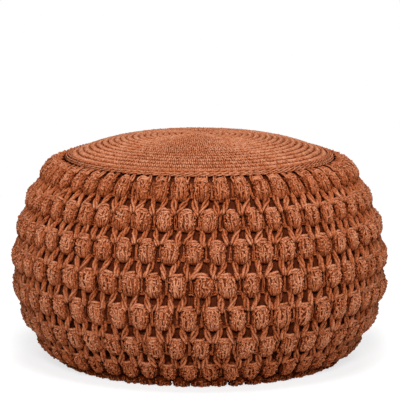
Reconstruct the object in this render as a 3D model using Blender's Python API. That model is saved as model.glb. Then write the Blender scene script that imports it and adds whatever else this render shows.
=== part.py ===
"""A round crocheted pouf, modelled in metres with +Z up and its origin on the floor under its middle.

Four pieces are made: a crowned top worked in tight rounds, a side wall worked in seven tiers of raised
bobbles with open gaps between the tiers, a flat base round, and the filled inner casing that shows
through the gaps.
"""

import math
from collections import namedtuple

import bmesh
import bpy
import numpy as np

# Sizes shared by the pieces, in metres
CLEARANCE = 0.0003
TURNED_STEPS = 36
SHARP_EDGE = math.radians(50)

# The wall's ground is the surface between the bobbles, from the seat under the rim down to the base
GroundPoint = namedtuple("GroundPoint", "place radius height")
WALL_GROUND = (
    GroundPoint("rim seat", 0.1930, 0.2972),
    GroundPoint("tier 1", 0.2170, 0.2790),
    GroundPoint("tier 2", 0.2395, 0.2400),
    GroundPoint("tier 3", 0.2545, 0.1985),
    GroundPoint("tier 4", 0.2615, 0.1555),
    GroundPoint("tier 5", 0.2610, 0.1080),
    GroundPoint("tier 6", 0.2485, 0.0665),
    GroundPoint("tier 7", 0.2235, 0.0330),
    GroundPoint("base ring", 0.1905, 0.0105),
    GroundPoint("base seat", 0.1705, 0.0012),
)
WALL_THICKNESS = 0.0040

# Tiers of bobbles, measured down the ground from the rim seat
TIERS = 7
FIRST_TIER = 0.0290
TIER_STEP = 0.0445
BASE_RING = 0.3420
BOBBLES = 50
PITCH = math.tau / BOBBLES
FRONT_TURN = math.radians(-2.3)

# One bobble: its flat top and its belly stand out from the ground, its sides fall back to the posts
TOP_REACH = 0.0140
TOP_RISE = 0.0115
BELLY_REACH = 0.0070
BELLY_RISE = 0.0140
POST_TOP_REACH = 0.0190
POST_FOOT_REACH = 0.0185
BASE_RING_RISE = 0.0060

# Half widths, as shares of the step from one bobble to the next in its round
TOP_HALF = 0.17
BELLY_HALF = 0.27
POST_HALF = 0.12
LINING_HALF = 0.14

# Four columns of points to a bobble's step: the two sides of a bobble and the two sides of a post
COLUMNS_PER_BOBBLE = 4
COLUMNS = BOBBLES * COLUMNS_PER_BOBBLE
FIRST_GAP_COLUMN = 1

# Bends of the wall's inner face between the gaps and its two ends, measured down the ground
UPPER_LINING_BEND = 0.0230
LOWER_LINING_BENDS = (0.3080, 0.3320)

# Crowned top: a stuffed dome that flattens towards the middle, ridged by its rounds
TOP_ROUNDS = 22
TOP_FIELD_RADIUS = 0.1890
TOP_EDGE_HEIGHT = 0.3020
CROWN = 0.0245
CROWN_POWER = 3.5
ROUND_RIDGE = 0.0015
TOP_THICKNESS = 0.0050

# The top's rim rolls over the wall and turns under to a flat seat on the wall's upper end
RimPoint = namedtuple("RimPoint", "place radius height")
RIM = (
    RimPoint("inner crest", 0.1918, 0.3050),
    RimPoint("outer crest", 0.1952, 0.3044),
    RimPoint("outermost", 0.1975, 0.3015),
    RimPoint("turn under", 0.1965, 0.2985),
    RimPoint("seat, outer edge", 0.1935, WALL_GROUND[0].height + CLEARANCE),
    RimPoint("seat, inner edge", 0.1870, WALL_GROUND[0].height + CLEARANCE),
)
UNDERSIDE_RADIUS = 0.1865
UNDERSIDE_ROWS = 6
UNDERSIDE_SPREAD = 0.7

# Flat base
BASE_RADIUS = 0.1700
BASE_THICKNESS = 0.0040
BASE_EDGE = 0.0010

# Inner casing, set in from the pieces round it
CASING_INSET = 0.0065
CASING_TOP_GAP = 0.0005
CASING_TOP_SHRINK = 0.0006
CASING_SIDE_ROWS = 11
CASING_START = 0.0145
CASING_END = 0.0040
CASING_FOOT_RADIUS = 0.1620

# Cloth finishes: linear colour, roughness
YARN_COLOUR = (0.428, 0.122, 0.051, 1.0)
YARN_ROUGHNESS = 0.90
CASING_COLOUR = (0.150, 0.024, 0.010, 1.0)
CASING_ROUGHNESS = 0.85


def clear_scene():
    for thing in list(bpy.data.objects):
        bpy.data.objects.remove(thing, do_unlink=True)


def cloth(name, colour, roughness):
    material = bpy.data.materials.new(name)
    material.use_nodes = True
    shader = material.node_tree.nodes["Principled BSDF"]
    shader.inputs["Base Color"].default_value = colour
    shader.inputs["Roughness"].default_value = roughness
    shader.inputs["Metallic"].default_value = 0.0
    return material


def smooth_through(points, steps=24):
    """Carry a Catmull-Rom cubic through the points, with the ends run on straight."""
    ends = np.vstack([2 * points[0] - points[1], points, 2 * points[-1] - points[-2]])
    t = np.linspace(0.0, 1.0, steps, endpoint=False)[:, None]
    spans = []
    for a, b, c, d in zip(ends, ends[1:], ends[2:], ends[3:]):
        bend = (2 * a - 5 * b + 4 * c - d) * t**2
        twist = (3 * b - a - 3 * c + d) * t**3
        spans.append(0.5 * (2 * b + (c - a) * t + bend + twist))
    return np.vstack(spans + [points[-1:]])


GROUND = smooth_through(np.array([(p.radius, p.height) for p in WALL_GROUND]))
GROUND_STEPS = np.hypot(*np.diff(GROUND, axis=0).T)
GROUND_RUN = np.concatenate([[0.0], np.cumsum(GROUND_STEPS)])
GROUND_LENGTH = GROUND_RUN[-1]


def off_ground(down, rise):
    """Radius and height of the point that lies this far down the ground and stands off it by rise."""
    radius = np.interp(down, GROUND_RUN, GROUND[:, 0])
    height = np.interp(down, GROUND_RUN, GROUND[:, 1])
    slope = np.gradient(GROUND, GROUND_RUN, axis=0)
    along_radius = np.interp(down, GROUND_RUN, slope[:, 0])
    along_height = np.interp(down, GROUND_RUN, slope[:, 1])
    length = math.hypot(along_radius, along_height)
    return radius - rise * along_height / length, height + rise * along_radius / length


def crown_height(radius):
    """Height of the top between its ridges: the dome falls with a power of the distance from its middle."""
    return TOP_EDGE_HEIGHT + CROWN * (1.0 - (radius / TOP_FIELD_RADIUS) ** CROWN_POWER)


def column_angle(column, half):
    """Columns run in pairs, left and right of a bobble or a post, which lie half a step apart."""
    middle = 0.5 * ((column + 1) // 2)
    side = -1.0 if column % 2 else 1.0
    return FRONT_TURN + PITCH * (middle + side * half)


def around(radius, height, angle):
    """Point on a circle, its angle measured from the front towards the right."""
    return (radius * math.sin(angle), -radius * math.cos(angle), height)


def finish_piece(name, shape, material):
    """Close the shape, turn its faces outwards and put it in the scene."""
    bmesh.ops.recalc_face_normals(shape, faces=shape.faces)
    mesh = bpy.data.meshes.new(name)
    shape.to_mesh(mesh)
    shape.free()
    mesh.materials.append(material)
    mesh.shade_smooth()
    mesh.set_sharp_from_angle(angle=SHARP_EDGE)
    piece = bpy.data.objects.new(name, mesh)
    bpy.context.scene.collection.objects.link(piece)
    return piece


def turned_piece(name, profile, material):
    """Turn a profile round the upright axis; it starts and ends on the axis."""
    shape = bmesh.new()
    rings = []
    for radius, height in profile:
        if radius == 0.0:
            rings.append([shape.verts.new((0.0, 0.0, height))] * TURNED_STEPS)
            continue
        turns = [math.tau * step / TURNED_STEPS for step in range(TURNED_STEPS)]
        rings.append([shape.verts.new(around(radius, height, turn)) for turn in turns])
    for upper, lower in zip(rings, rings[1:]):
        for step in range(TURNED_STEPS):
            following = (step + 1) % TURNED_STEPS
            corners = (upper[step], lower[step], lower[following], upper[following])
            shape.faces.new(tuple(dict.fromkeys(corners)))
    return finish_piece(name, shape, material)


def make_top_round(material):
    """Crowned top, one ridge to each round, with a rolled rim whose underside seats on the wall."""
    pitch = TOP_FIELD_RADIUS / TOP_ROUNDS
    profile = [(0.0, crown_height(0.0) + ROUND_RIDGE)]
    for turn in range(TOP_ROUNDS):
        crest = (turn + 0.5) * pitch
        valley = (turn + 1.0) * pitch
        profile.append((crest, crown_height(crest) + ROUND_RIDGE))
        profile.append((valley, crown_height(valley)))
    profile += [(point.radius, point.height) for point in RIM]
    profile += [(radius, crown_height(radius) - TOP_THICKNESS) for radius in underside_radii()]
    return turned_piece("top_round", profile, material)


def underside_radii():
    """Radii of the rows shared by the top's underside and the casing's dome, from the rim to the middle."""
    shares = [(1.0 - row / UNDERSIDE_ROWS) ** UNDERSIDE_SPREAD for row in range(UNDERSIDE_ROWS)]
    return [UNDERSIDE_RADIUS * share for share in shares] + [0.0]


def make_base_round(material):
    """Flat disc with softened edges."""
    profile = [
        (0.0, BASE_THICKNESS),
        (BASE_RADIUS - BASE_EDGE, BASE_THICKNESS),
        (BASE_RADIUS, BASE_THICKNESS - BASE_EDGE),
        (BASE_RADIUS, BASE_EDGE),
        (BASE_RADIUS - BASE_EDGE, 0.0),
        (0.0, 0.0),
    ]
    return turned_piece("base_round", profile, material)


def make_casing(material):
    """Filled inner casing: it follows the top's underside, the inside of the wall and the base."""
    profile = []
    for radius in reversed(underside_radii()):
        drawn_in = radius - CASING_TOP_SHRINK * radius / UNDERSIDE_RADIUS
        profile.append((drawn_in, crown_height(radius) - TOP_THICKNESS - CASING_TOP_GAP))
    for down in np.linspace(CASING_START, GROUND_LENGTH - CASING_END, CASING_SIDE_ROWS):
        profile.append(off_ground(down, -CASING_INSET))
    foot = BASE_THICKNESS + CLEARANCE
    profile.append((CASING_FOOT_RADIUS, foot))
    profile.append((0.0, foot))
    return turned_piece("casing", profile, material)


def has_bobble(tier, column):
    """True where the column runs over a bobble; every second tier is set half a step round."""
    return (column + 1) // 2 % 2 == tier % 2


def bobble_ring(shape, tier, on_bobble, on_post):
    """One ring of points across a tier: each kind has its reach down the ground, rise and half width."""
    middle = FIRST_TIER + tier * TIER_STEP
    ring = []
    for column in range(COLUMNS):
        reach, rise, half = on_bobble if has_bobble(tier, column) else on_post
        radius, height = off_ground(middle + reach, rise)
        ring.append(shape.verts.new(around(radius, height, column_angle(column, half))))
    return ring


def lining_ring(shape, down, columns, half):
    """One ring of points on the wall's inner face."""
    radius, height = off_ground(down, -WALL_THICKNESS)
    return [shape.verts.new(around(radius, height, column_angle(column, half))) for column in columns]


def edge_ring(shape, radius, height):
    """One ring of points at an end of the wall, midway between each bobble and post."""
    angles = [FRONT_TURN + PITCH * (0.5 * step + 0.25) for step in range(2 * BOBBLES)]
    return [shape.verts.new(around(radius, height, angle)) for angle in angles]


def quad_as_triangles(shape, a, b, c, d):
    """Four corners in order round the face, split from the second corner to the fourth."""
    shape.faces.new((a, b, d))
    shape.faces.new((b, c, d))


def edge_to_ring(shape, edge, ring):
    """Join an end of the wall, with one point to two columns, to a ring with one point to each column."""
    count = len(edge)
    for step in range(count):
        following = (step + 1) % count
        left, right = ring[2 * step], ring[2 * step + 1]
        onward = ring[(2 * step + 2) % len(ring)]
        shape.faces.new((edge[step], left, right))
        quad_as_triangles(shape, edge[step], right, onward, edge[following])


def lining_columns(start):
    """Columns at the two sides of each gap in a round, the first gap starting at this column."""
    return [start + COLUMNS_PER_BOBBLE * gap + side for gap in range(BOBBLES) for side in (0, 1)]


def join_lining(shape, upper, lower):
    """Join two rings of the inner face, splitting each skewed face across its short way."""
    count = len(upper)
    for step in range(count):
        following = (step + 1) % count
        quad_as_triangles(shape, upper[step], upper[following], lower[following], lower[step])


def make_bobble_wall(material):
    """Crocheted wall: a ring of cloth, open at both ends, raised in bobbles and cut through by its gaps.

    A gap lies over each bobble of the lower tier, under the post between two bobbles of the upper one.
    """
    shape = bmesh.new()
    tops = []
    bellies = []
    for tier in range(TIERS):
        top = (-TOP_REACH, TOP_RISE, TOP_HALF)
        belly = (BELLY_REACH, BELLY_RISE, BELLY_HALF)
        tops.append(bobble_ring(shape, tier, top, (-POST_TOP_REACH, 0.0, POST_HALF)))
        bellies.append(bobble_ring(shape, tier, belly, (POST_FOOT_REACH, 0.0, POST_HALF)))
    base_reach = BASE_RING - FIRST_TIER - TIERS * TIER_STEP
    base_bobble = (base_reach, BASE_RING_RISE, BELLY_HALF)
    base_ring = bobble_ring(shape, TIERS, base_bobble, (base_reach, 0.0, POST_HALF))

    top_edge = edge_ring(shape, WALL_GROUND[0].radius, WALL_GROUND[0].height)
    base_edge = edge_ring(shape, WALL_GROUND[-1].radius, WALL_GROUND[-1].height)
    edge_to_ring(shape, top_edge, tops[0])
    edge_to_ring(shape, base_edge, base_ring)
    for tier in range(TIERS):
        tier_band(shape, tier, tops[tier], bellies[tier])
    for tier in range(TIERS - 1):
        gap_band(shape, tier, bellies[tier], tops[tier + 1], True)
    gap_band(shape, TIERS - 1, bellies[-1], base_ring, False)

    upper_end = end_face(shape, top_edge, WALL_GROUND[0].radius - WALL_THICKNESS, WALL_GROUND[0].height)
    start = FIRST_GAP_COLUMN - 2
    above = lining_ring(shape, UPPER_LINING_BEND, lining_columns(start), LINING_HALF)
    join_lining(shape, turned_by(upper_end, start // 2), above)
    for tier in range(TIERS - 1):
        start += 2
        above = line_gaps(shape, tier, start, above, bellies[tier], tops[tier + 1])
    for down in LOWER_LINING_BENDS:
        start += 2
        bend = lining_ring(shape, down, lining_columns(start), LINING_HALF)
        join_lining(shape, above, bend)
        above = bend
    base = WALL_GROUND[-1]
    lower_end = end_face(shape, base_edge, base.radius, base.height + WALL_THICKNESS)
    join_lining(shape, above, turned_by(lower_end, start // 2))
    return finish_piece("bobble_wall", shape, material)


def turned_by(ring, steps):
    """The same ring, started some steps further round."""
    steps %= len(ring)
    return ring[steps:] + ring[:steps]


def end_face(shape, outer_edge, radius, height):
    """Close an end of the wall, and give the inner edge of that end."""
    inner = edge_ring(shape, radius, height)
    count = len(inner)
    for step in range(count):
        following = (step + 1) % count
        quad_as_triangles(shape, outer_edge[step], outer_edge[following], inner[following], inner[step])
    return inner


def tier_band(shape, tier, top, belly):
    """Faces of one tier, split so that each bobble's sides bulge out to the posts."""
    for column in range(COLUMNS):
        following = (column + 1) % COLUMNS
        corners = (top[column], top[following], belly[following], belly[column])
        if has_bobble(tier, column):
            quad_as_triangles(shape, *corners)
        else:
            quad_as_triangles(shape, *corners[1:], corners[0])


def gap_band(shape, tier, belly, top, with_gaps):
    """Faces between two tiers, split along the grooves that part the bobbles, with the gaps left out."""
    for column in range(COLUMNS):
        following = (column + 1) % COLUMNS
        over_gap = column % 2 == 1 and not has_bobble(tier, column)
        if with_gaps and over_gap:
            continue
        corners = (belly[column], belly[following], top[following], top[column])
        if has_bobble(tier, column):
            quad_as_triangles(shape, *corners)
        else:
            quad_as_triangles(shape, *corners[1:], corners[0])


def line_gaps(shape, tier, start, above, belly, top):
    """Cut the gaps under one tier: the inner face round them and the four short walls of each gap."""
    middle = FIRST_TIER + tier * TIER_STEP
    columns = lining_columns(start)
    gap_tops = lining_ring(shape, middle + POST_FOOT_REACH, columns, POST_HALF)
    gap_feet = lining_ring(shape, middle + TIER_STEP - TOP_REACH, columns, TOP_HALF)
    join_lining(shape, above, gap_tops)
    count = len(columns)
    for left in range(0, count, 2):
        right = left + 1
        beyond = (left + 2) % count
        quad_as_triangles(shape, gap_tops[right], gap_tops[beyond], gap_feet[beyond], gap_feet[right])
        first = columns[left] % COLUMNS
        second = columns[right] % COLUMNS
        outer = (belly[first], belly[second], top[second], top[first])
        inner = (gap_tops[left], gap_tops[right], gap_feet[right], gap_feet[left])
        for corner in range(4):
            onward = (corner + 1) % 4
            quad_as_triangles(shape, outer[corner], outer[onward], inner[onward], inner[corner])
    return gap_feet


def main():
    clear_scene()
    yarn = cloth("terracotta_yarn", YARN_COLOUR, YARN_ROUGHNESS)
    lining = cloth("casing_cloth", CASING_COLOUR, CASING_ROUGHNESS)
    make_top_round(yarn)
    make_bobble_wall(yarn)
    make_base_round(yarn)
    make_casing(lining)


main()
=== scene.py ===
import math
from collections import namedtuple

import bpy
import numpy as np
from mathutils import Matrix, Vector


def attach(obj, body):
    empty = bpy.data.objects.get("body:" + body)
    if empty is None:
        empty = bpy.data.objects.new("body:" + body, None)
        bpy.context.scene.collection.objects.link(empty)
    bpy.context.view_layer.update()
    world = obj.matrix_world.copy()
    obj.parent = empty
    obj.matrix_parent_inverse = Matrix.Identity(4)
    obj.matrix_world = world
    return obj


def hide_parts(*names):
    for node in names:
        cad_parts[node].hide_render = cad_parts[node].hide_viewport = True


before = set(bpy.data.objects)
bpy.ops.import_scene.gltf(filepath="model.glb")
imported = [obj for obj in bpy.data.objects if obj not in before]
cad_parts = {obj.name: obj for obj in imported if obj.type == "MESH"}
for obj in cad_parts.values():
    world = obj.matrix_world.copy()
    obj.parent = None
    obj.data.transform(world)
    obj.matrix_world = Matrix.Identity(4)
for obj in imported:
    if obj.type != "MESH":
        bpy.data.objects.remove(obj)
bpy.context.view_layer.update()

RANDOM = np.random.default_rng(11)

# Lengths are in metres. The wall's ground is the curved surface that the stitches stand on, from the
# rim's seat down to the base, and a place on the wall is a distance down it.
GroundPoint = namedtuple("GroundPoint", "radius height")
WALL_GROUND = (
    GroundPoint(0.1930, 0.2972),  # rim seat
    GroundPoint(0.2170, 0.2790),  # tier 1
    GroundPoint(0.2395, 0.2400),  # tier 2
    GroundPoint(0.2545, 0.1985),  # tier 3
    GroundPoint(0.2615, 0.1555),  # tier 4
    GroundPoint(0.2600, 0.1080),  # tier 5
    GroundPoint(0.2465, 0.0665),  # tier 6
    GroundPoint(0.2235, 0.0330),  # tier 7
    GroundPoint(0.2015, 0.0098),  # base ring
    GroundPoint(0.1800, 0.0010),  # base seat
)
GROUND_STEPS = 24
FLOOR_CLEARANCE = 0.0016

# Tiers of bobbles from the top down, with the low ring next to the base as the eighth: what each does
# to its bobbles' fullness, width and length, how much lower it sits and how far round it is turned
TIERS = 7
FIRST_TIER = 0.0290
TIER_STEP = 0.0445
BASE_RING = 0.3275
BOBBLES = 50
PITCH = math.tau / BOBBLES
FRONT_TURN = math.radians(-2.3)
TIER_FULLNESS = (0.86, 0.94, 1.0, 1.0, 1.0, 1.0, 1.04, 1.0)
TIER_WIDTH = (0.98, 0.97, 0.95, 0.94, 0.94, 0.96, 0.98, 1.30)
TIER_LENGTH = (0.95, 0.88, 0.91, 0.96, 1.0, 1.0, 1.0, 1.0)
TIER_SHIFT = (0.0018, 0.0016, 0.0, 0.0, 0.0, 0.0, 0.0, 0.0)
TIER_LEAN = np.radians((3.0, 1.9, 0.7, -0.3, -0.9, -1.05, -1.0, -1.0))

# One bobble from its root to where it tucks under its closing stitch: distance down the wall from the
# tier's middle, rise off the ground, half width as a share of the step between bobbles
BobblePoint = namedtuple("BobblePoint", "reach rise half")
BOBBLE_FORM = (
    BobblePoint(0.0180, 0.0010, 0.16),  # root
    BobblePoint(0.0168, 0.0062, 0.25),  # neck
    BobblePoint(0.0120, 0.0106, 0.335),  # lower belly
    BobblePoint(0.0040, 0.0122, 0.366),  # belly
    BobblePoint(-0.0045, 0.0124, 0.372),  # upper belly
    BobblePoint(-0.0095, 0.0114, 0.362),  # shoulder
    BobblePoint(-0.0132, 0.0088, 0.31),  # top
    BobblePoint(-0.0150, 0.0042, 0.25),  # tuck
)
OUTLINE_STEPS = 12
BOBBLE_SEAT = 0.0010
SIDE_POWER = 0.88
RISE_POWER = 0.75

# How widely the bobbles of one tier vary, as shares: of their length, width and fullness, and of the step
# between them for how far they lean and drift to one side
LENGTH_SPREAD = 0.03
WIDTH_SPREAD = 0.06
FULLNESS_SPREAD = 0.05
LEAN_SPREAD = 0.08
DRIFT_SPREAD = 0.025

# The small bobbles of the ring next to the base: their scale and counts, and the share of the yarn's
# thickness that stays whatever the scale
RING_SCALE = 0.72
RING_STRANDS = 9
RING_CURL_ROWS = 3
YARN_KEPT = 0.6

# The body under a bobble's strands: its middle, depth and width as shares of the bobble's own, and
# its dark tone, which is painted shade in the pits between the strands
CORE_STEPS = 8
CORE_SIDES = 8
CORE_MIDDLE = 0.47
CORE_DEPTH = 0.52
CORE_WIDTH = 0.90
CORE_SHADE_TONE = 0.30

# Long strands over a bobble: how far round they fan, wander and wave, how far they run, and their relief
YARN_SIDES = 4
LONG_STRANDS = 13
LONG_STEPS = 9
LONG_FAN = math.radians(78)
LONG_WANDER = 0.08
LONG_WAVES = 0.10
LONG_REACH = 0.95
LONG_ENDS = (0.85, 1.04)
LONG_RELIEF = 0.0006
LONG_BOW = 0.0002
LONG_DIP = 0.0008
LONG_RADIUS = 0.00142
LONG_THICKNESS = (0.9, 1.2)

# Curls over the upper part of a bobble: their rows and columns, the shares of a curl where its points
# lie, and how far it runs, turns, varies in heading, dips at its ends and rises in its middle
CURL_ROWS = 6
CURL_COLUMNS = 5
CURL_RUN = np.array([-0.5, -0.36, 0.0, 0.36, 0.5])
CURL_REACH = (0.34, 0.92)
CURL_FAN = 2.5
CURL_WANDER = 0.20
CURL_LENGTH = (0.0044, 0.0068)
CURL_TURN = (0.4, 2.2)
CURL_HEADING = 1.25
CURL_DIP = 0.0008
CURL_RISE = 0.0028
CURL_RISES = (0.6, 1.2)
CURL_RADIUS = 0.00138
CURL_THICKNESS = (0.85, 1.2)

# Headings vary more up the bobble: by this slope and start with its share, within these limits
DISORDER_SLOPE = 2.2
DISORDER_START = -0.1
DISORDER_LIMITS = (0.3, 1.5)

# A bobble's half width and its length from root to tuck, and how far round and along it curls may go
PILLOW_HALF_WIDTH = 0.0115
PILLOW_LENGTH = 0.042
FAN_LIMIT = 1.22
AT_LIMITS = (0.02, 0.97)

# Tones run from 0 for the darkest yarn to 1 for the lightest. Painted shade: a strand is drawn darker the
# deeper it lies and lighter the further out it lies, up to the outer height, and lighter along its outer
# side than where it meets its neighbours. A shade shift counts it as lying further out.
OUTER_HEIGHT = 0.0130
DEEP_SHADE = -0.28
HEIGHT_LIGHTENING = 0.82
TONE_SPREAD = 0.19
SIDE_SHADE = -0.13
OUTER_SIDE_LIGHT = 0.28
LONG_SHADE_SHIFT = -0.0005
STITCH_SHADE_SHIFT = 0.0030

# A plain stitch runs between two places on the wall. A place is a share of the step between bobbles round
# from its tier's angles, and a distance down from the tier's middle. The rises are at the stitch's start,
# middle and end. It may bow sideways on its way, its plies lie side by side or wind round each other, and
# its thickness may change towards its end.
Stitch = namedtuple(
    "Stitch", "start end rises plies spread thickness bow taper turns", defaults=(0.0, 1.0, 0.0)
)
CLOSING_STITCH = Stitch(
    (-0.30, -0.0136), (0.24, -0.0140), (0.0058, 0.0106, 0.0063), 3, 0.0022, 0.00190
)
POST = Stitch(
    (0.520, 0.0150), (0.525, -0.0150), (0.0034, 0.0054, 0.0044), 2, 0.0008, 0.00124, taper=0.8
)
POST_FOOT = Stitch((0.40, 0.0115), (0.65, 0.0115), (0.0030, 0.0038, 0.0030), 2, 0.0014, 0.00165)
POST_CHAIN = Stitch((0.36, -0.0145), (0.72, -0.0145), (0.0040, 0.0030, 0.0060), 2, 0.0013, 0.00130)
LEFT_HANGER = Stitch(
    (-0.20, -0.0275), (-0.30, -0.0080), (0.0040, 0.0078, 0.0085), 2, 0.0018, 0.00150
)
RIGHT_HANGER = Stitch(
    (0.20, -0.0275), (0.29, -0.0080), (0.0040, 0.0078, 0.0085), 2, 0.0018, 0.00150
)
ARM_RISES = (0.0078, 0.0064, 0.0022)
LEFT_ARM = Stitch(
    (-0.06, -0.0065), (-0.29, 0.0085), ARM_RISES, 3, 0.0029, 0.00228, bow=-0.05, turns=0.7
)
RIGHT_ARM = Stitch(
    (0.08, -0.0080), (0.31, 0.0085), ARM_RISES, 3, 0.0029, 0.00228, bow=0.05, turns=0.7
)

# How stitches vary: where their ends lie, how the plies spread, open, wave and lie over one another
STITCH_STEPS = 8
STITCH_WANDER = 0.0009
STITCH_THICKNESS = (0.9, 1.15)
MIDDLE_PLY_DIP = 0.0010
WIND_DEPTH = 0.55
PLY_SPREAD = (0.75, 1.2)
PLY_ENDS = 0.08
PLY_OPENING_POWER = 0.6
PLY_WAVES = 0.0005
PLY_RELIEF = 0.0003
WAVE_FALL = 0.7

# Rounds of the crowned top, worked in small stitches of two legs
TOP_ROUNDS = 21
TOP_FIELD_RADIUS = 0.1880
TOP_EDGE_HEIGHT = 0.3020
CROWN = 0.0288
CROWN_POWER = 3.0
TOP_CENTRE = 0.0025
STITCH_WIDTH = 0.0060
LEAST_STITCHES = 6
LEG_RUN = np.array([0.0, 0.18, 0.5, 0.82, 1.0])
LEG_REACH = (-0.50, 0.41)
LEG_GAP = 0.0004
LEG_OPENING = 0.0015
LEG_SKEW = 0.0016
LEG_RISES = np.array([-0.0008, 0.0006, 0.0013, 0.0008, -0.0008])
LEG_WANDER = 0.0003
LEG_RELIEF = 0.0002
LEG_RADIUS = 0.00142
LEG_THICKNESS = (0.92, 1.12)
# Painted shade on the legs' sides, weaker than on the other strands
LEG_SIDE_SHADING = 0.4
# Painted shade: each leg is drawn darker at its ends, where it dips between the rounds, and lightest in
# its middle
LEG_SHADES = np.array([-0.31, -0.08, 0.08, -0.05, -0.27])
STITCH_TONES = (0.58, 0.75)

# The rim's cords, from the top of the rim down its outside, each of two plies
RimCord = namedtuple("RimCord", "radius height thickness twists")
RIM = (
    RimCord(0.1890, 0.3043, 0.00125, 60),
    RimCord(0.1922, 0.3036, 0.00130, 56),
    RimCord(0.1947, 0.3013, 0.00125, 58),
    RimCord(0.1958, 0.2988, 0.00125, 54),
)
STEPS_PER_TWIST = 6
CORD_PLY_SHARE = 0.75
RIM_WAVE = 0.0003
RIM_WAVES = 9
RIM_TONES = (0.46, 0.72)

# The plain dome under the top's stitches: depths of its two faces below the crown, the radii where
# their points lie, its edge, and its tone, darker than the stitches over it as painted shade in the
# gaps between the rounds
DOME_SKIN = 0.0001
DOME_DEPTH = 0.0055
DOME_OUTSIDE = (0.0, *np.linspace(0.02, TOP_FIELD_RADIUS, 14))
DOME_INSIDE = (*np.linspace(TOP_FIELD_RADIUS - 0.004, 0.03, 8), 0.0)
DOME_EDGE = ((0.1922, 0.3010), (0.1922, 0.2992), (0.1870, 0.2978))
DOME_SIDES = 72
DOME_SHADE_TONE = 0.40

# The base, in plain rounds with a groove between each two
BASE_ROUNDS = 20
BASE_RADIUS = 0.1780
BASE_GROOVE = 0.0010
BASE_THICKNESS = 0.0042
BASE_EDGE = ((BASE_RADIUS + 0.0010, 0.0025), (BASE_RADIUS, BASE_THICKNESS))
BASE_CENTRE = 0.0008
BASE_SIDES = 120
BASE_TONE = 0.4

# The casing: how deep it lies under the top and the wall, the radii and the places down the wall where
# its points lie, and its foot inside the base
CASING_UNDER_TOP = 0.0062
CASING_UNDER_WALL = 0.0045
CASING_RADII = (0.0, *np.linspace(0.02, 0.184, 12))
CASING_PLACES = np.linspace(0.0145, 0.350, 60)
CASING_FOOT = ((0.166, 0.0052), (0.12, 0.0050), (0.0, 0.0050))
CASING_SIDES = 100
CASING_TONE = 0.5

# Yarn: its colours by tone, its mottling, the painted shade that darkens it where it nears the floor,
# and its relief. A mottle is a noise's scale, the part of its range that counts, and the darkest and
# lightest shift.
YARN_COLOURS = (
    (0.0, (0.078, 0.010, 0.0015)),
    (0.5, (0.345, 0.088, 0.030)),
    (1.0, (0.590, 0.280, 0.162)),
)
Mottle = namedtuple("Mottle", "scale low high darkest lightest")
YARN_MOTTLES = (
    Mottle(50.0, 0.3, 0.7, -0.08, 0.08),
    Mottle(380.0, 0.36, 0.52, -0.26, 0.06),
)
LOW_SHADE_HEIGHT = 0.052
LOW_SHADE = -0.34
RIDGES_PER_METRE = 330.0
RIDGES_ROUND = 3.0
RIDGE_HEIGHT = 0.35
FIBRE_SCALE = 1600.0
NOISE_DETAIL = 2.0

# Cloth: its colours by the noise of its threads, darker than the cloth itself as painted shade in the
# openings between the tiers, and how far that noise is drawn out upwards
CLOTH_AND_SHADE_COLOURS = (
    (0.25, (0.045, 0.007, 0.002)),
    (0.50, (0.098, 0.017, 0.005)),
    (0.80, (0.185, 0.041, 0.013)),
)
THREAD_SCALE = (900.0, 900.0, 60.0)

# Floor: how far it goes to the sides and forwards, and how far behind the pouf
FLOOR_HALF_WIDTH = 2.5
FLOOR_BEHIND = 1.5

# Light: the white glow of room and floor, as a light on the pouf and as it looks, and three round lamps
WHITE = (1.0, 1.0, 1.0, 1.0)
FLOOR_COLOUR = (0.36, 0.36, 0.36, 1.0)
ROOM_LIGHT = 0.19
ROOM_LOOK = 1.0
FLOOR_LIGHT = 0.30
FLOOR_LOOK = 0.72
Lamp = namedtuple("Lamp", "name place size power")
LAMPS = (
    Lamp("overhead", (0.0, -0.9, 2.4), 1.0, 39.0),
    Lamp("behind", (0.4, 3.0, 1.8), 1.6, 26.0),
    Lamp("front", (0.0, -2.8, 1.35), 0.8, 70.0),
)
LAMP_AIM = (0.0, 0.0, 0.15)

# Camera: it looks down a little from far off, and its picture's 400 pixels span the known width
IMAGE_SIZE = 400
CAMERA_ELEVATION = math.radians(9.0)
CAMERA_DISTANCE = 3.43
CAMERA_CLIP = (0.1, 50.0)
METRES_PER_PIXEL = 0.0014745
AIM = (0.0010, 0.0, 0.2336)
SENSOR = 36.0


# The pouf's shape

def smooth_through(points, steps):
    """Carry a Catmull-Rom cubic through the points in steps, with the ends run on straight."""
    ends = np.vstack([2 * points[0] - points[1], points, 2 * points[-1] - points[-2]])
    t = np.linspace(0.0, 1.0, steps, endpoint=False)[:, None]
    spans = []
    for a, b, c, d in zip(ends, ends[1:], ends[2:], ends[3:]):
        bend = (2 * a - 5 * b + 4 * c - d) * t**2
        twist = (3 * b - a - 3 * c + d) * t**3
        spans.append(0.5 * (2 * b + (c - a) * t + bend + twist))
    return np.vstack(spans + [points[-1:]])


GROUND = smooth_through(np.array(WALL_GROUND), GROUND_STEPS)
GROUND_RUN = np.concatenate([[0.0], np.cumsum(np.hypot(*np.diff(GROUND, axis=0).T))])
GROUND_SLOPE = np.gradient(GROUND, GROUND_RUN, axis=0)
GROUND_SLOPE /= np.linalg.norm(GROUND_SLOPE, axis=1, keepdims=True)


def round_axis(radius, angle, height):
    """Points at a radius from the upright axis, turned by the angle from the front to the right."""
    points = radius * np.sin(angle), -radius * np.cos(angle), height
    return np.stack(np.broadcast_arrays(*points), -1)


def wall_radius(down):
    """Radius of the ground at a distance down the wall."""
    return np.interp(down, GROUND_RUN, GROUND[:, 0])


def wall_slope(down):
    """How radius and height change going down the ground's curve."""
    return [np.interp(down, GROUND_RUN, column) for column in GROUND_SLOPE.T]


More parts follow.
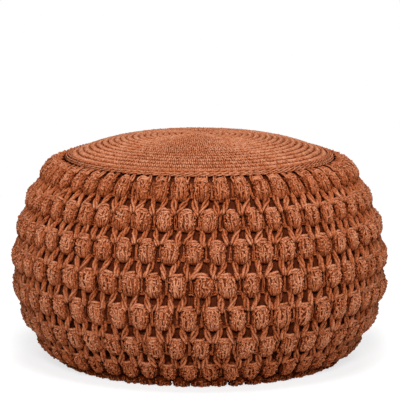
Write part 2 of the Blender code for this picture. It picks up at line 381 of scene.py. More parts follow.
def off_ground(down, rise):
    """Radius and height: go down the ground's curve, then out along its normal by the rise."""
    slope_r, slope_z = wall_slope(down)
    height = np.interp(down, GROUND_RUN, GROUND[:, 1])
    return wall_radius(down) - rise * slope_z, height + rise * slope_r


def on_wall(angle, down, rise):
    """Point on the wall. Yarn that would reach the floor lies flat on it."""
    radius, height = off_ground(down, rise)
    return round_axis(radius, angle, np.maximum(height, FLOOR_CLEARANCE))


def wall_normal(angle, down):
    """Direction straight out from the wall: its slope down the ground's curve, turned a quarter."""
    slope_r, slope_z = wall_slope(down)
    return round_axis(-slope_z, angle, slope_r)


def round_the_wall(angle):
    """Level direction round the wall."""
    return np.stack([np.cos(angle), np.sin(angle), np.zeros_like(angle)], -1)


def crown_height(radius):
    """The crown falls with a power of the distance from its middle."""
    return TOP_EDGE_HEIGHT + CROWN * (1.0 - (radius / TOP_FIELD_RADIUS) ** CROWN_POWER)


def under_crown(radii, depth):
    """Profile points at a depth below the crown."""
    return [(radius, crown_height(radius) - depth) for radius in radii]


# Strands gathered into meshes

class Work:
    """Gathers strands as arrays of points and faces, and makes one mesh of them."""

    def __init__(self):
        self.points = []
        self.quads = []
        self.tris = []
        self.quad_uv = []
        self.tri_uv = []
        self.tones = []
        self.count = 0

    def add(self, points, quads, tris, quad_uv, tri_uv, tones):
        """Take in points with their tones, and faces with a place on the map for each corner."""
        self.points.append(points)
        self.quads.append(quads + self.count)
        self.tris.append(tris + self.count)
        self.quad_uv.append(quad_uv)
        self.tri_uv.append(tri_uv)
        self.tones.append(tones)
        self.count += len(points)

    def open_strands(self, paths, across, through, reference, tones, sides=YARN_SIDES, side_shading=1.0):
        """Carry an oval section along each path and draw both ends to a point.

        paths is strands x steps x 3. The section's first axis is the reference direction less its part
        along the path, its second is square to both; across and through are its two half widths. The
        side shading scales the painted shade between the strand's outer side and the sides where it meets
        its neighbours.
        """
        strands, steps, _ = paths.shape
        inner = steps - 2
        rings = section_rings(paths, across, through, reference, sides)[:, 1:-1]
        points = np.concatenate([rings.reshape(strands, -1, 3), paths[:, :1], paths[:, -1:]], axis=1)
        run = path_run(paths)
        start_uv = end_uv(run[:, 0], run[:, 1], sides, True)
        finish_uv = end_uv(run[:, -1], run[:, -2], sides, False)
        self.add(
            points.reshape(-1, 3),
            repeat_faces(band_faces(inner, sides), strands, points.shape[1]),
            repeat_faces(end_faces(inner, sides), strands, points.shape[1]),
            strand_uv(run[:, 1:-1], sides),
            np.concatenate([start_uv, finish_uv], axis=1).reshape(-1, 3, 2),
            # The strand's sides carry painted shade
            strand_tones(tones, strands, steps, side_shading * painted_side_shades(sides)),
        )

    def closed_strands(self, paths, across, through, reference, tones, sides=YARN_SIDES):
        """Carry an oval section along each closed path."""
        strands, steps, _ = paths.shape
        rings = section_rings(paths, across, through, reference, sides, closed=True)
        wrapped = np.concatenate([paths, paths[:, :1]], axis=1)
        self.add(
            rings.reshape(-1, 3),
            repeat_faces(band_faces(steps, sides, closed=True), strands, steps * sides),
            np.zeros((0, 3), int),
            strand_uv(path_run(wrapped), sides),
            np.zeros((0, 3, 2)),
            # Painted shade round each cord, as on the other strands
            (tones[:, None, None] + np.zeros((steps, 1)) + painted_side_shades(sides)).ravel(),
        )

    def turned(self, profile, steps, tone):
        """Turn a profile of (radius, height) round the upright axis. It runs from the axis down the
        outside and back, against the way a strand runs, so its faces are wound the other way."""
        radius, height = np.array(profile, float).T
        angle = np.linspace(0.0, math.tau, steps, endpoint=False)
        rings = round_axis(radius[1:-1, None], angle, height[1:-1, None])
        poles = [(0.0, 0.0, height[0]), (0.0, 0.0, height[-1])]
        points = np.concatenate([rings.reshape(-1, 3), poles])
        quads = band_faces(len(rings), steps)[:, [0, 3, 2, 1]]
        tris = end_faces(len(rings), steps)[:, [0, 2, 1]]
        tones = np.full(len(points), tone)
        self.add(points, quads, tris, points[quads][..., :2], points[tris][..., :2], tones)

    def piece(self, name, material, slot, *nodes):
        """Make the mesh, with a UV map that follows the strands and a tone for each point. Yarn that
        would reach below the floor is pressed flat on it."""
        points = np.concatenate(self.points)
        points[:, 2] = np.maximum(points[:, 2], 0.0)
        quads = np.concatenate(self.quads)
        tris = np.concatenate(self.tris)
        uv = np.concatenate([np.concatenate(self.quad_uv).reshape(-1, 2),
                             np.concatenate(self.tri_uv).reshape(-1, 2)])
        corners = np.concatenate([quads.ravel(), tris.ravel()])
        quad_starts = 4 * np.arange(len(quads))
        tri_starts = 4 * len(quads) + 3 * np.arange(len(tris))
        starts = np.concatenate([quad_starts, tri_starts])
        mesh = bpy.data.meshes.new(name)
        mesh.vertices.add(len(points))
        mesh.vertices.foreach_set("co", points.astype(np.float32).ravel())
        mesh.loops.add(len(corners))
        mesh.loops.foreach_set("vertex_index", corners.astype(np.int32))
        mesh.polygons.add(len(starts))
        mesh.polygons.foreach_set("loop_start", starts.astype(np.int32))
        mesh.uv_layers.new(name="strand").data.foreach_set("uv", uv.astype(np.float32).ravel())
        tone = mesh.attributes.new("tone", "FLOAT", "POINT")
        tone.data.foreach_set("value", np.concatenate(self.tones).astype(np.float32))
        mesh.update(calc_edges=True)
        mesh.shade_smooth()
        mesh.materials.append(material)
        piece = bpy.data.objects.new(name, mesh)
        bpy.context.scene.collection.objects.link(piece)
        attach(piece, "root")
        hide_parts(*nodes)
        print(name, 2 * len(quads) + len(tris), "triangles")
        return piece


def unit(vectors):
    """The same directions, each one long."""
    return vectors / np.linalg.norm(vectors, axis=-1, keepdims=True)


def section_rings(paths, across, through, reference, sides, closed=False):
    """Oval rings of points round each point of each path."""
    if closed:
        tangent = unit(np.roll(paths, -1, axis=1) - np.roll(paths, 1, axis=1))
    else:
        tangent = unit(np.gradient(paths, axis=1))
    first = unit(reference - (reference * tangent).sum(-1, keepdims=True) * tangent)
    second = np.cross(tangent, first)
    turn = np.linspace(0.0, math.tau, sides, endpoint=False)
    across = np.broadcast_to(across, paths.shape[:2])[..., None, None]
    through = np.broadcast_to(through, paths.shape[:2])[..., None, None]
    spoke = across * np.cos(turn)[:, None] * first[..., None, :]
    spoke = spoke + through * np.sin(turn)[:, None] * second[..., None, :]
    return paths[..., None, :] + spoke


def band_faces(rings, sides, closed=False):
    """Quads that join each ring of points to the next, and the last to the first if they close."""
    count = rings if closed else rings - 1
    low, side = np.meshgrid(np.arange(count), np.arange(sides), indexing="ij")
    high = (low + 1) % rings
    turn = (side + 1) % sides
    corners = [(low, side), (low, turn), (high, turn), (high, side)]
    return np.stack([ring * sides + place for ring, place in corners], -1).reshape(-1, 4)


def end_faces(rings, sides):
    """Triangles that close both ends of a band, at the two points that come after its rings."""
    side = np.arange(sides)
    turn = (side + 1) % sides
    last = (rings - 1) * sides
    start = np.stack([np.full(sides, rings * sides), turn, side], -1)
    finish = np.stack([np.full(sides, rings * sides + 1), last + side, last + turn], -1)
    return np.concatenate([start, finish])


def repeat_faces(faces, strands, points_each):
    """The same faces on every strand, counted from its own first point."""
    firsts = np.arange(strands) * points_each
    return (faces + firsts[:, None, None]).reshape(-1, faces.shape[-1])


def painted_side_shades(sides):
    """Painted light and shade round a strand: lighter along its outer side, darker where it meets its
    neighbours.
    """
    return SIDE_SHADE + OUTER_SIDE_LIGHT * np.cos(np.linspace(0.0, math.tau, sides, endpoint=False))


def strand_tones(tones, strands, steps, shades):
    """A tone for every point of the strands, from one for each strand or one for each step of it, and
    the painted shade on each side of the strand."""
    tones = np.broadcast_to(tones.reshape(strands, -1), (strands, steps))
    inner = (tones[:, 1:-1, None] + shades).reshape(strands, -1)
    ends = tones[:, [0, -1]] + shades.mean()
    return np.concatenate([inner, ends], axis=1).ravel()


def depth_shade_and_tone(height, shape):
    """Painted shade: yarn is drawn darker the deeper it lies and lighter the further it stands out from
    the wall, and each strand also differs a little at random.
    """
    outward = np.clip(height / OUTER_HEIGHT, 0.0, 1.0)
    return DEEP_SHADE + HEIGHT_LIGHTENING * outward + RANDOM.uniform(0.0, TONE_SPREAD, shape)


def path_run(paths):
    """Distance run along each path up to each of its points."""
    steps = np.linalg.norm(np.diff(paths, axis=1), axis=-1)
    return np.concatenate([np.zeros((len(paths), 1)), np.cumsum(steps, axis=1)], axis=1)


def strand_uv(run, sides):
    """Corners of the strand's quads: once round the strand is 0 to 1, and along it is in metres."""
    strands, rows = run.shape
    low = np.broadcast_to(run[:, :-1, None], (strands, rows - 1, sides))
    high = np.broadcast_to(run[:, 1:, None], (strands, rows - 1, sides))
    left = np.broadcast_to(np.arange(sides) / sides, low.shape)
    right = left + 1.0 / sides
    corners = [(left, low), (right, low), (right, high), (left, high)]
    return np.stack([np.stack(corner, -1) for corner in corners], -2).reshape(-1, 4, 2)


def end_uv(tip, ring, sides, at_start):
    """Corners of the triangles at one end of each strand."""
    left = np.broadcast_to(np.arange(sides) / sides, (len(tip), sides))
    right = left + 1.0 / sides
    tip = np.broadcast_to(tip[:, None], left.shape)
    ring = np.broadcast_to(ring[:, None], left.shape)
    order = (right, left) if at_start else (left, right)
    corners = [(left, tip), (order[0], ring), (order[1], ring)]
    return np.stack([np.stack(corner, -1) for corner in corners], -2)


# Bobbles

def uneven(shape, steps, size):
    """Soft unevenness along a strand: a few slow waves of random size and phase, lower the shorter
    they are."""
    t = np.linspace(0.0, 1.0, steps)
    waves = np.arange(1, max(4, steps - 3))[:, None]
    phase = RANDOM.uniform(0.0, math.tau, shape + (len(waves), 1))
    height = RANDOM.normal(0.0, size, shape + (len(waves), 1)) / waves ** WAVE_FALL
    return (height * np.sin(math.pi * waves * t + phase)).sum(-2)


TierLine = namedtuple("TierLine", "angles middle length")
Habits = namedtuple("Habits", "angle long wide full lean drift")
BobbleRound = namedtuple("BobbleRound", "middle scale habits")


def tier_line(tier):
    """Where a tier's bobbles stand, and how long they are. Every second tier is set half a step round."""
    middle = TIER_SHIFT[tier] + (FIRST_TIER + tier * TIER_STEP if tier < TIERS else BASE_RING)
    angles = FRONT_TURN + TIER_LEAN[tier] + PITCH * (np.arange(BOBBLES) + 0.5 * (tier % 2))
    return TierLine(angles, middle, TIER_LENGTH[tier])


def bobble_round(tier, scale):
    """A tier's bobbles, each a little different from the next."""
    line = tier_line(tier)
    habits = Habits(
        angle=line.angles,
        long=RANDOM.normal(line.length, LENGTH_SPREAD, BOBBLES),
        wide=RANDOM.normal(TIER_WIDTH[tier], WIDTH_SPREAD, BOBBLES),
        full=RANDOM.normal(TIER_FULLNESS[tier], FULLNESS_SPREAD, BOBBLES),
        lean=RANDOM.normal(0.0, LEAN_SPREAD, BOBBLES),
        drift=RANDOM.normal(0.0, DRIFT_SPREAD, BOBBLES),
    )
    return BobbleRound(line.middle, scale, habits)


def bobble_outline(at, scale):
    """The bobble's reach, rise and half width at shares of the way along its outline."""
    curve = smooth_through(np.array(BOBBLE_FORM), OUTLINE_STEPS)
    steps = np.hypot(np.diff(curve[:, 0]), np.diff(curve[:, 1]))
    run = np.concatenate([[0.0], np.cumsum(steps)])
    reach, rise, half = (np.interp(at, run / run[-1], column) for column in curve.T)
    return reach * scale, rise * scale, half


def on_bobble(bobbles, at, fan, lift):
    """Points on the bobbles' pillow shape, with the wall's normals there and the points' rise.

    at is the share of the way from root to tuck and fan the angle round the pillow, with nought on its
    middle line. The section is a squared oval: it reaches half the width x sin(fan) to the side and
    the rise x cos(fan) out, each to a power a little under one, and the lift goes straight out from it.
    """
    middle, scale, habits = bobbles
    reach, rise, half = bobble_outline(at, scale)
    own = (BOBBLES,) + (1,) * (at.ndim - 1)
    angle, long, wide, full, lean, drift = (row.reshape(own) for row in habits)
    sine, cosine = np.sin(fan), np.clip(np.cos(fan), 0.0, 1.0)
    radius = wall_radius(middle)
    width = half * wide * PITCH * radius
    side = width * np.sign(sine) * np.abs(sine) ** SIDE_POWER + lift * sine
    height = BOBBLE_SEAT + rise * full * cosine ** RISE_POWER + lift * cosine
    down = middle + reach * long
    angle = angle + PITCH * (drift + lean * (0.5 - at)) + side / (radius + 0.5 * rise)
    return on_wall(angle, down, height), wall_normal(angle, down), height


def add_bobbles(work, tier, scale=1.0, strands=LONG_STRANDS, rows=CURL_ROWS):
    """A round of puffed bobbles: long strands over a body from root to tuck, and curls over their top."""
    bobbles = bobble_round(tier, scale)
    add_cores(work, bobbles)
    add_long_strands(work, bobbles, strands)
    add_curls(work, bobbles, rows)


def add_cores(work, bobbles):
    """The body under each bobble's strands: a fat strand from root to tuck, oval across, drawn dark as
    painted shade in the pits between the strands.
    """
    at = np.linspace(0.0, 1.0, CORE_STEPS)
    reach, rise, half = bobble_outline(at, bobbles.scale)
    angle, long, wide, full, lean, drift = (row[:, None] for row in bobbles.habits)
    angle = angle + PITCH * (drift + lean * (0.5 - at))
    paths = on_wall(angle, bobbles.middle + reach * long, CORE_MIDDLE * rise * full)
    across = CORE_WIDTH * half * wide * wall_radius(bobbles.middle) * PITCH
    through = CORE_DEPTH * rise * full
    # Painted shade: the core's dark tone stands for the shade in the pits between the strands
    tones = np.full(BOBBLES, CORE_SHADE_TONE)
    work.open_strands(paths, across, through, round_the_wall(angle), tones, CORE_SIDES)


def add_long_strands(work, bobbles, strands):
    """Wavy strands that fan out from each bobble's root, run over it and end under its closing stitch."""
    shape = (BOBBLES, strands)
    fan = np.linspace(-LONG_FAN, LONG_FAN, strands)[:, None]
    fan = fan + RANDOM.normal(0.0, LONG_WANDER, shape + (1,)) + uneven(shape, LONG_STEPS, LONG_WAVES)
    t = np.linspace(0.0, 1.0, LONG_STEPS)
    at = t * LONG_REACH * RANDOM.uniform(*LONG_ENDS, shape + (1,))
    relief = uneven(shape, LONG_STEPS, LONG_RELIEF)
    lift = (relief + LONG_BOW * np.sin(math.pi * t) - LONG_DIP * t**3) * bobbles.scale
    lay_on_bobbles(work, bobbles, (at, fan, lift), LONG_RADIUS, LONG_THICKNESS, LONG_SHADE_SHIFT)


def add_curls(work, bobbles, rows):
    """Short fat curls of yarn over the upper part of each bobble, with pits left between them.

    A curl starts anywhere and turns steadily as it runs: its heading is a random angle plus a random
    turn times the share run. Both its ends dip into the bobble.
    """
    scale = bobbles.scale
    shape = (BOBBLES, rows, CURL_COLUMNS, 1)
    row = (np.arange(rows) / rows)[:, None, None]
    column = ((np.arange(CURL_COLUMNS) + 0.5) / CURL_COLUMNS)[:, None]
    start, finish = CURL_REACH
    at = start + (finish - start) * (row + RANDOM.uniform(0.0, 1.0 / rows, shape))
    fan = CURL_FAN * (column - 0.5) + RANDOM.uniform(-CURL_WANDER, CURL_WANDER, shape)
    length = RANDOM.uniform(*CURL_LENGTH, shape) * scale
    turn = RANDOM.uniform(*CURL_TURN, shape) * RANDOM.choice([-1.0, 1.0], shape)
    disorder = np.clip(DISORDER_SLOPE * at + DISORDER_START, *DISORDER_LIMITS)
    heading = RANDOM.normal(0.0, CURL_HEADING, shape) * disorder + turn * CURL_RUN
    step = np.gradient(CURL_RUN) * length
    across = np.cumsum(np.sin(heading) * step, axis=-1)
    along = np.cumsum(np.cos(heading) * step, axis=-1)
    across -= across.mean(-1, keepdims=True)
    along -= along.mean(-1, keepdims=True)
    fan = np.clip(fan + across / (PILLOW_HALF_WIDTH * scale), -FAN_LIMIT, FAN_LIMIT)
    at = np.clip(at + along / (PILLOW_LENGTH * scale), *AT_LIMITS)
    hump = CURL_RISE * np.cos(math.pi * CURL_RUN) ** 0.5 * RANDOM.uniform(*CURL_RISES, shape)
    lift = (-CURL_DIP + hump) * scale
    lay_on_bobbles(work, bobbles, (at, fan, lift), CURL_RADIUS, CURL_THICKNESS)


def lay_on_bobbles(work, bobbles, course, radius, thickness, shade_shift=0.0):
    """Lay round strands over the bobbles along a course of shares, fan angles and lifts."""
    points, normals, height = on_bobble(bobbles, *course)
    steps = points.shape[-2]
    # Painted shade: the deeper a strand lies on the bobble, the darker it is drawn
    tones = depth_shade_and_tone(height / bobbles.scale + shade_shift, height.shape[:-1] + (1,))
    points, normals = (block.reshape(-1, steps, 3) for block in (points, normals))
    thick = radius * RANDOM.uniform(*thickness, (len(points), 1))
    thick = thick * (YARN_KEPT + (1.0 - YARN_KEPT) * bobbles.scale)
    work.open_strands(points, thick, thick, normals, tones.reshape(-1, steps))


# Plain stitches

def lay_plies(stitch, count, t):
    """How far each ply of each stitch lies to the side and out, in shares of its spread and in metres.

    Plies lie side by side with the middle one deeper, or as many windings of one circle, whose depth is a
    little over half its width.
    """
    if not stitch.turns:
        ply = np.linspace(-1.0, 1.0, stitch.plies)[:, None]
        return ply, -MIDDLE_PLY_DIP * (1.0 - ply**2)
    begin = RANDOM.uniform(0.0, 1.0, (count, 1, 1))
    hand = RANDOM.choice([-1.0, 1.0], (count, 1, 1))
    share = np.arange(stitch.plies)[:, None] / stitch.plies
    wind = math.tau * (share + begin + hand * stitch.turns * t)
    return np.cos(wind), WIND_DEPTH * stitch.spread * np.sin(wind)


def add_stitches(work, stitch, start, end):
    """One stitch from each bobble of the start line to the same of the end line.

    A stitch's line runs evenly between its two places, bowed sideways by half a sine wave, with a
    quadratic through its three rises. Its plies stand off that line by a spread that opens from its ends
    to its middle as a power of half a sine wave.
    """
    shape = (BOBBLES, stitch.plies)
    t = np.linspace(0.0, 1.0, STITCH_STEPS)
    ply, out = lay_plies(stitch, BOBBLES, t)
    start_angle = start.angles[:, None, None] + PITCH * stitch.start[0]
    end_angle = end.angles[:, None, None] + PITCH * stitch.end[0]
    start_down = start.middle + stitch.start[1] * start.length
    end_down = end.middle + stitch.end[1] * end.length
    shift = RANDOM.normal(0.0, STITCH_WANDER, (4, BOBBLES, 1, 1))
    radius = wall_radius(0.5 * (start_down + end_down))
    angle = start_angle + (end_angle - start_angle) * t
    angle = angle + (shift[0] + (shift[1] - shift[0]) * t) / radius
    angle = angle + PITCH * stitch.bow * np.sin(math.pi * t)
    down = start_down + (end_down - start_down) * t + shift[2] + (shift[3] - shift[2]) * t
    run = np.hypot(radius * (end_angle - start_angle), end_down - start_down)
    spread = stitch.spread * RANDOM.uniform(*PLY_SPREAD, shape + (1,))
    opening = np.sin(math.pi * (PLY_ENDS + (1.0 - 2.0 * PLY_ENDS) * t)) ** PLY_OPENING_POWER
    aside = spread * ply * opening + uneven(shape, STITCH_STEPS, PLY_WAVES)
    angle = angle + aside * (end_down - start_down) / run / radius
    down = down - aside * radius * (end_angle - start_angle) / run
    first, centre, last = stitch.rises
    rise = first + (4 * centre - 3 * first - last) * t + (2 * first + 2 * last - 4 * centre) * t**2
    rise = rise + uneven(shape, STITCH_STEPS, PLY_RELIEF) + out
    paths = on_wall(angle, down, rise).reshape(-1, STITCH_STEPS, 3)
    normals = wall_normal(angle, down).reshape(-1, STITCH_STEPS, 3)
    thick = stitch.thickness * RANDOM.uniform(*STITCH_THICKNESS, (len(paths), 1))
    thick = thick * (1.0 + (stitch.taper - 1.0) * t)
    # Painted shade: stitches are drawn darker the deeper they lie, as on the bobbles
    tones = depth_shade_and_tone(rise + STITCH_SHADE_SHIFT, shape + (1,)).reshape(-1, STITCH_STEPS)
    work.open_strands(paths, thick, thick, normals, tones)


def add_own_stitches(work, tier):
    """A tier's closing stitches and posts. A chain runs over each post, or from the first tier two
    hangers go up under the rim."""
    line = tier_line(tier)
    upper = (POST_CHAIN,) if tier else (LEFT_HANGER, RIGHT_HANGER)
    for stitch in (CLOSING_STITCH, POST, POST_FOOT, *upper):
        add_stitches(work, stitch, line, line)


def add_v_stitches(work, tier):
    """Pairs of arms that rise from the top of each lower post and straddle the bobble above it."""
    upper, lower = tier_line(tier), tier_line(tier + 1)
    nearest = np.round((upper.angles[0] - lower.angles[0]) / PITCH - 0.5) + 0.5
    posts = lower._replace(angles=lower.angles + nearest * PITCH)
    for arm in (LEFT_ARM, RIGHT_ARM):
        add_stitches(work, arm, posts, upper)


# Materials

class Nodes:
    """The nodes of one material or world, joined up as they are added."""

    def __init__(self, owner):
        owner.use_nodes = True
        self.tree = owner.node_tree

    def fill(self, node, inputs):
        """Set each of the inputs to a value, or join it to another node's output."""
        for name, value in inputs.items():
            if isinstance(value, bpy.types.NodeSocket):
                self.tree.links.new(value, node.inputs[name])
            else:
                node.inputs[name].default_value = value

    def fill_own(self, name, inputs):
        """Fill in a node that was there from the start."""
        self.fill(self.tree.nodes[name], inputs)

    def add(self, kind, inputs=None):
        """A new node with the inputs filled in."""
        node = self.tree.nodes.new(kind)
        self.fill(node, inputs or {})
        return node

    def calculate(self, operation, *values):
        """One step of arithmetic on values or on other nodes' outputs."""
        node = self.add("ShaderNodeMath")
        node.operation = operation
        self.fill(node, dict(enumerate(values)))
        return node.outputs["Value"]

    def object_place(self):
        """The place on the object, in metres."""
        return self.add("ShaderNodeTexCoord").outputs["Object"]

    def noise(self, place, scale):
        """Cloudy noise from about 0 to 1, finer the larger its scale."""
        inputs = {"Vector": place, "Scale": scale, "Detail": NOISE_DETAIL}
        return self.add("ShaderNodeTexNoise", inputs).outputs["Fac"]

    def carry(self, value, low, high, new_low, new_high):
        """Carry a value from one range onto another."""
        inputs = {"Value": value, "From Min": low, "From Max": high}
        inputs |= {"To Min": new_low, "To Max": new_high}
        return self.add("ShaderNodeMapRange", inputs).outputs["Result"]

    def ramp(self, value, stops):
        """Turn a value into a colour between those at the stops."""
        node = self.add("ShaderNodeValToRGB", {"Fac": value})
        elements = node.color_ramp.elements
        while len(elements) < len(stops):
            elements.new(0.5)
        for element, (place, colour) in zip(elements, stops):
            element.position = place
            element.color = (*colour, 1.0)
        return node.outputs["Color"]

    def bump(self, height, strength, distance):
        """Fine relief, from a height."""
        inputs = {"Height": height, "Strength": strength, "Distance": distance}
        return self.add("ShaderNodeBump", inputs).outputs["Normal"]

    def dim_as_light(self, light, look):
        """A glow's strength: one as it lights the pouf, and another as it looks."""
        path = self.add("ShaderNodeLightPath")
        return self.carry(path.outputs["Is Camera Ray"], 0.0, 1.0, light, look)


def yarn_material():
    """Matt cotton yarn: each strand has its own tone with painted shade in it, more painted shade darkens
    it towards the floor, and its plies wind round it as slanted ridges.

    A ridge is a sine wave of the distance along the strand plus the share of the way round it, and fine
    noise stands for loose fibres.
    """
    material = bpy.data.materials.new("terracotta_yarn")
    nodes = Nodes(material)
    place = nodes.object_place()
    attribute = nodes.add("ShaderNodeAttribute")
    attribute.attribute_name = "tone"
    tone = attribute.outputs["Fac"]
    for scale, *shifts in YARN_MOTTLES:
        tone = nodes.calculate("ADD", tone, nodes.carry(nodes.noise(place, scale), *shifts))
    # Painted shade: the yarn is drawn darker towards the floor
    height = nodes.add("ShaderNodeSeparateXYZ", {"Vector": place}).outputs["Z"]
    tone = nodes.calculate("ADD", tone, nodes.carry(height, 0.0, LOW_SHADE_HEIGHT, LOW_SHADE, 0.0))

    strand = nodes.add("ShaderNodeUVMap")
    strand.uv_map = "strand"
    split = nodes.add("ShaderNodeSeparateXYZ", {"Vector": strand.outputs["UV"]})
    along = nodes.calculate("MULTIPLY", split.outputs["Y"], RIDGES_PER_METRE)
    slant = nodes.calculate("MULTIPLY_ADD", split.outputs["X"], RIDGES_ROUND, along)
    ridges = nodes.calculate("SINE", nodes.calculate("MULTIPLY", slant, math.tau))
    fibres = nodes.noise(place, FIBRE_SCALE)
    relief = nodes.calculate("MULTIPLY_ADD", ridges, RIDGE_HEIGHT, fibres)
    nodes.fill_own("Principled BSDF", {
        "Base Color": nodes.ramp(tone, YARN_COLOURS),
        "Normal": nodes.bump(relief, strength=0.55, distance=0.0004),
        "Roughness": 0.88,
        "Specular IOR Level": 0.03,
    })
    return material


def casing_material():
    """Plain woven cloth, darker than the yarn, partly in its own colour and partly as painted shade in
    the openings: noise drawn out upwards stands for its fine threads.
    """
    material = bpy.data.materials.new("casing_cloth")
    nodes = Nodes(material)
    stretch = nodes.add("ShaderNodeMapping", {"Vector": nodes.object_place(), "Scale": THREAD_SCALE})
    threads = nodes.noise(stretch.outputs["Vector"], 1.0)
    nodes.fill_own("Principled BSDF", {
        # The cloth's colours are its own, darkened further as painted shade in the openings between the
        # tiers
        "Base Color": nodes.ramp(threads, CLOTH_AND_SHADE_COLOURS),
        "Normal": nodes.bump(threads, strength=0.5, distance=0.0003),
        "Roughness": 0.85,
        "Specular IOR Level": 0.05,
    })
    return material


# Pieces

def make_tier(tier, yarn):
    """A tier of bobbles with its own stitches."""
    work = Work()
    add_bobbles(work, tier)
    add_own_stitches(work, tier)
    work.piece(f"bobble_tier_{tier + 1}", yarn, "terracotta_yarn", "bobble_wall")


def make_v_rows(yarn):
    """The V-shaped pairs of stitches in the open rows between the tiers."""
    work = Work()
    for tier in range(TIERS - 1):
        add_v_stitches(work, tier)
    work.piece("v_stitch_rows", yarn, "terracotta_yarn", "bobble_wall")


def make_base_ring(yarn):
    """The low ring of small bobbles next to the base."""
    work = Work()
    add_bobbles(work, TIERS, RING_SCALE, RING_STRANDS, RING_CURL_ROWS)
    work.piece("base_ring_bobbles", yarn, "terracotta_yarn", "bobble_wall")


def make_top(yarn):
    """The crowned top: rounds of small stitches over a plain dome, and a rim of long cords."""
    work = Work()
    add_top_round(work, TOP_CENTRE)
    for turn in range(TOP_ROUNDS):
        add_top_round(work, (turn + 0.5) * TOP_FIELD_RADIUS / TOP_ROUNDS)
    add_rim(work)
    outside = under_crown(DOME_OUTSIDE, DOME_SKIN)
    inside = under_crown(DOME_INSIDE, DOME_DEPTH)
    # The dome's darker tone is painted shade between the rounds
    work.turned([*outside, *DOME_EDGE, *inside], DOME_SIDES, DOME_SHADE_TONE)
    work.piece("top_round_stitches", yarn, "terracotta_yarn", "top_round")


def add_top_round(work, radius):
    """One round of small stitches, each of two fat legs that open outwards like the letter V.

    Along a leg the distance out grows evenly, the legs part by a quarter sine wave, and both lean the
    same way; the leg stands up in its middle and dips at its ends.
    """
    count = max(LEAST_STITCHES, round(math.tau * radius / STITCH_WIDTH))
    spacing = TOP_FIELD_RADIUS / TOP_ROUNDS
    begin = RANDOM.uniform(0.0, 1.0)
    each = (count, 1, 1)
    leg = np.array([-1.0, 1.0])[:, None]
    low, high = LEG_REACH
    out = radius + spacing * (low + (high - low) * LEG_RUN) + RANDOM.normal(0.0, LEG_WANDER, each)
    aside = leg * (LEG_GAP + LEG_OPENING * np.sin(0.5 * math.pi * LEG_RUN))
    aside = aside + LEG_SKEW * (LEG_RUN - 0.5)
    angle = math.tau * (np.arange(count).reshape(each) + begin) / count
    angle = angle + (aside + RANDOM.normal(0.0, LEG_WANDER, each)) / radius
    up = crown_height(out) + LEG_RISES + RANDOM.normal(0.0, LEG_RELIEF, (count, 2, 1))
    paths = round_axis(out, angle, up).reshape(-1, len(LEG_RUN), 3)
    upright = np.broadcast_to([0.0, 0.0, 1.0], paths.shape)
    thick = LEG_RADIUS * RANDOM.uniform(*LEG_THICKNESS, (len(paths), 1))
    # A random tone for each stitch, with painted shade along its legs
    tones = RANDOM.uniform(*STITCH_TONES, (len(paths), 1)) + LEG_SHADES
    work.open_strands(paths, thick, thick, upright, tones, side_shading=LEG_SIDE_SHADING)


def add_rim(work):
    """Long cords side by side round the rim, each of two plies that wind slowly round each other: a
    ply's path is the cord's circle plus a smaller circle that it goes round once a twist."""
    plies = np.array([0.0, math.pi])[:, None]
    for cord in RIM:
        steps = STEPS_PER_TWIST * cord.twists
        angle = np.broadcast_to(np.linspace(0.0, math.tau, steps, endpoint=False), (2, steps))
        wind = cord.twists * angle + plies + RANDOM.uniform(0.0, math.tau)
        out = cord.radius + cord.thickness * CORD_PLY_SHARE * np.cos(wind)
        up = cord.height + cord.thickness * CORD_PLY_SHARE * np.sin(wind)
        paths = round_axis(out, angle, up + RIM_WAVE * np.sin(RIM_WAVES * angle))
        upright = np.broadcast_to([0.0, 0.0, 1.0], paths.shape)
        tones = RANDOM.uniform(*RIM_TONES, 2)
        work.closed_strands(paths, cord.thickness, cord.thickness, upright, tones)


def make_base(yarn):
    """The flat base: plain rounds that lie on the floor, with a groove between each two."""
    work = Work()
    profile = [(0.0, BASE_CENTRE)]
    for turn in range(BASE_ROUNDS):
        profile.append(((turn + 0.5) * BASE_RADIUS / BASE_ROUNDS, 0.0))
        profile.append(((turn + 1.0) * BASE_RADIUS / BASE_ROUNDS, BASE_GROOVE))
    profile += [*BASE_EDGE, (0.0, BASE_THICKNESS)]
    work.turned(profile[::-1], BASE_SIDES, BASE_TONE)
    work.piece("base_round_stitches", yarn, "terracotta_yarn", "base_round")


def make_casing(cloth):
    """The filled casing: it follows the crown and the wall's ground at a depth below them."""
    work = Work()
    crown = under_crown(CASING_RADII, CASING_UNDER_TOP)
    wall = zip(*off_ground(CASING_PLACES, -CASING_UNDER_WALL))
    work.turned([*crown, *wall, *CASING_FOOT], CASING_SIDES, CASING_TONE)
    piece = work.piece("casing_filled", cloth, "casing_cloth", "casing")


# Stage, light and camera

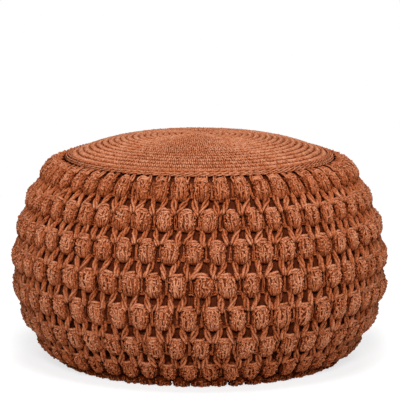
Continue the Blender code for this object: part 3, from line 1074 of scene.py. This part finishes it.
def make_stage():
    """A plain pale floor."""
    material = bpy.data.materials.new("pale_floor")
    nodes = Nodes(material)
    nodes.fill_own("Principled BSDF", {
        "Base Color": FLOOR_COLOUR,
        "Roughness": 0.9,
        "Emission Color": WHITE,
        "Emission Strength": nodes.dim_as_light(FLOOR_LIGHT, FLOOR_LOOK),
    })
    side, front, back = FLOOR_HALF_WIDTH, -FLOOR_HALF_WIDTH, FLOOR_BEHIND
    corners = [(-side, front, 0.0), (side, front, 0.0), (side, back, 0.0), (-side, back, 0.0)]
    mesh = bpy.data.meshes.new("floor")
    mesh.from_pydata(corners, [], [(0, 1, 2, 3)])
    mesh.materials.append(material)
    floor = bpy.data.objects.new("floor", mesh)
    bpy.context.scene.collection.objects.link(floor)


def make_light():
    """A white room, dimmer as a light than it looks, and soft round lamps."""
    world = bpy.data.worlds.new("studio")
    nodes = Nodes(world)
    strength = nodes.dim_as_light(ROOM_LIGHT, ROOM_LOOK)
    nodes.fill_own("Background", {"Color": WHITE, "Strength": strength})
    bpy.context.scene.world = world
    for name, place, size, power in LAMPS:
        lamp = bpy.data.lights.new(name, "AREA")
        lamp.shape = "DISK"
        lamp.size = size
        lamp.energy = power
        light = bpy.data.objects.new(name, lamp)
        light.location = place
        ahead = Vector(LAMP_AIM) - Vector(place)
        light.rotation_euler = ahead.to_track_quat("-Z", "Y").to_euler()
        bpy.context.scene.collection.objects.link(light)


def make_camera():
    """A camera in front of the pouf, looking down on it a little."""
    data = bpy.data.cameras.new("camera")
    data.sensor_width = SENSOR
    data.lens = SENSOR * CAMERA_DISTANCE / (METRES_PER_PIXEL * IMAGE_SIZE)
    data.clip_start, data.clip_end = CAMERA_CLIP
    camera = bpy.data.objects.new("camera", data)
    back = Vector((0.0, -math.cos(CAMERA_ELEVATION), math.sin(CAMERA_ELEVATION)))
    camera.location = Vector(AIM) + CAMERA_DISTANCE * back
    camera.rotation_euler = (-back).to_track_quat("-Z", "Y").to_euler()
    bpy.context.scene.collection.objects.link(camera)
    bpy.context.scene.camera = camera


def main():
    """Build the pouf and its setting. The order of the pieces is the order of their random draws."""
    bpy.context.scene.view_settings.view_transform = "Standard"
    make_camera()
    make_stage()
    make_light()
    yarn = yarn_material()
    for tier in range(TIERS):
        make_tier(tier, yarn)
    make_v_rows(yarn)
    make_base_ring(yarn)
    make_top(yarn)
    make_base(yarn)
    make_casing(casing_material())


main()
